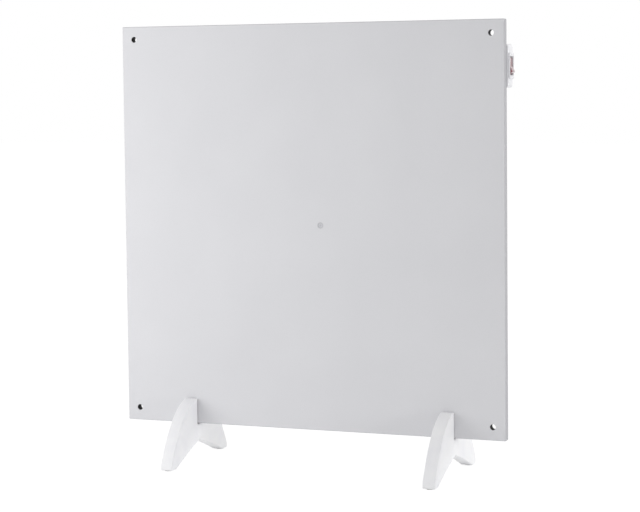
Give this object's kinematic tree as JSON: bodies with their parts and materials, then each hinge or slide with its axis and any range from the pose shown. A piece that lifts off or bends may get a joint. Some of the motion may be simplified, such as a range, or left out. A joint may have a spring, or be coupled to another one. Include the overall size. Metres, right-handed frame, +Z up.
{
  "type": "panel heater",
  "caption": "Flat square radiant panel heater with lined corner holes, standing on slotted arched feet, with a rocker switch in a box behind one edge.",
  "frame": {"origin": "on the floor, below the middle of the board's width and thickness", "axes": "+X to the right as seen from the front, +Y from the front to the back, +Z up"},
  "size_m": [0.6061, 0.198, 0.657],
  "materials": {
    "board": "fine matt off-white coating on a fibre-cement slab",
    "foot_plastic": "satin white moulded plastic",
    "white_plastic": "smooth satin moulded plastic",
    "black_plastic": "matt black moulded plastic",
    "pale_rubber": "pale grey rubber",
    "red_rocker": "semi-clear dark red plastic",
    "steel": "bright zinc-plated steel",
    "brass": "plain brass",
    "resistance_wire": "oxidised resistance alloy",
    "mineral_mat": "pressed mineral fibre",
    "foil": "plain aluminium foil",
    "brown_lead": "brown lead insulation",
    "blue_lead": "blue lead insulation"
  },
  "bodies": {
    "heater": {"front_board": "board", "back_board": "board", "heating_wire": "resistance_wire", "insulation_mat": "mineral_mat", "reflector_foil": "foil", "hole_liner_top_left": "black_plastic", "hole_liner_top_right": "black_plastic", "hole_liner_bottom_left": "black_plastic", "hole_liner_bottom_right": "black_plastic", "centre_screw": "board", "centre_washer": "steel", "centre_nut": "steel", "left_foot": "foot_plastic", "left_grip_channel": "pale_rubber", "left_front_floor_pad": "pale_rubber", "left_rear_floor_pad": "pale_rubber", "right_foot": "foot_plastic", "right_grip_channel": "pale_rubber", "right_front_floor_pad": "pale_rubber", "right_rear_floor_pad": "pale_rubber", "switch_box": "white_plastic", "box_screw_lower_inner": "steel", "box_screw_upper_inner": "steel", "box_screw_lower_outer": "steel", "box_screw_upper_outer": "steel", "element_stud_upper": "brass", "element_stud_lower": "brass", "thermal_cutout": "steel", "terminal_block": "white_plastic", "lead_supply_to_switch": "brown_lead", "lead_switch_to_cutout": "brown_lead", "lead_cutout_to_wire": "brown_lead", "lead_wire_to_supply": "blue_lead", "cable_gland": "black_plastic", "gland_nut": "black_plastic", "switch_body": "white_plastic", "switch_blade_upper": "brass", "switch_blade_lower": "brass", "rocker_pin": "steel"},
    "switch_rocker": {"rocker": "red_rocker"}
  },
  "joints": [
    {"name": "rocker_tilt", "type": "hinge", "parent": "heater", "child": "switch_rocker", "pos_m": [0.2962, 0.02, 0.5908], "axis": [0, 1, 0], "range_deg": [0, 22]}
  ]
}
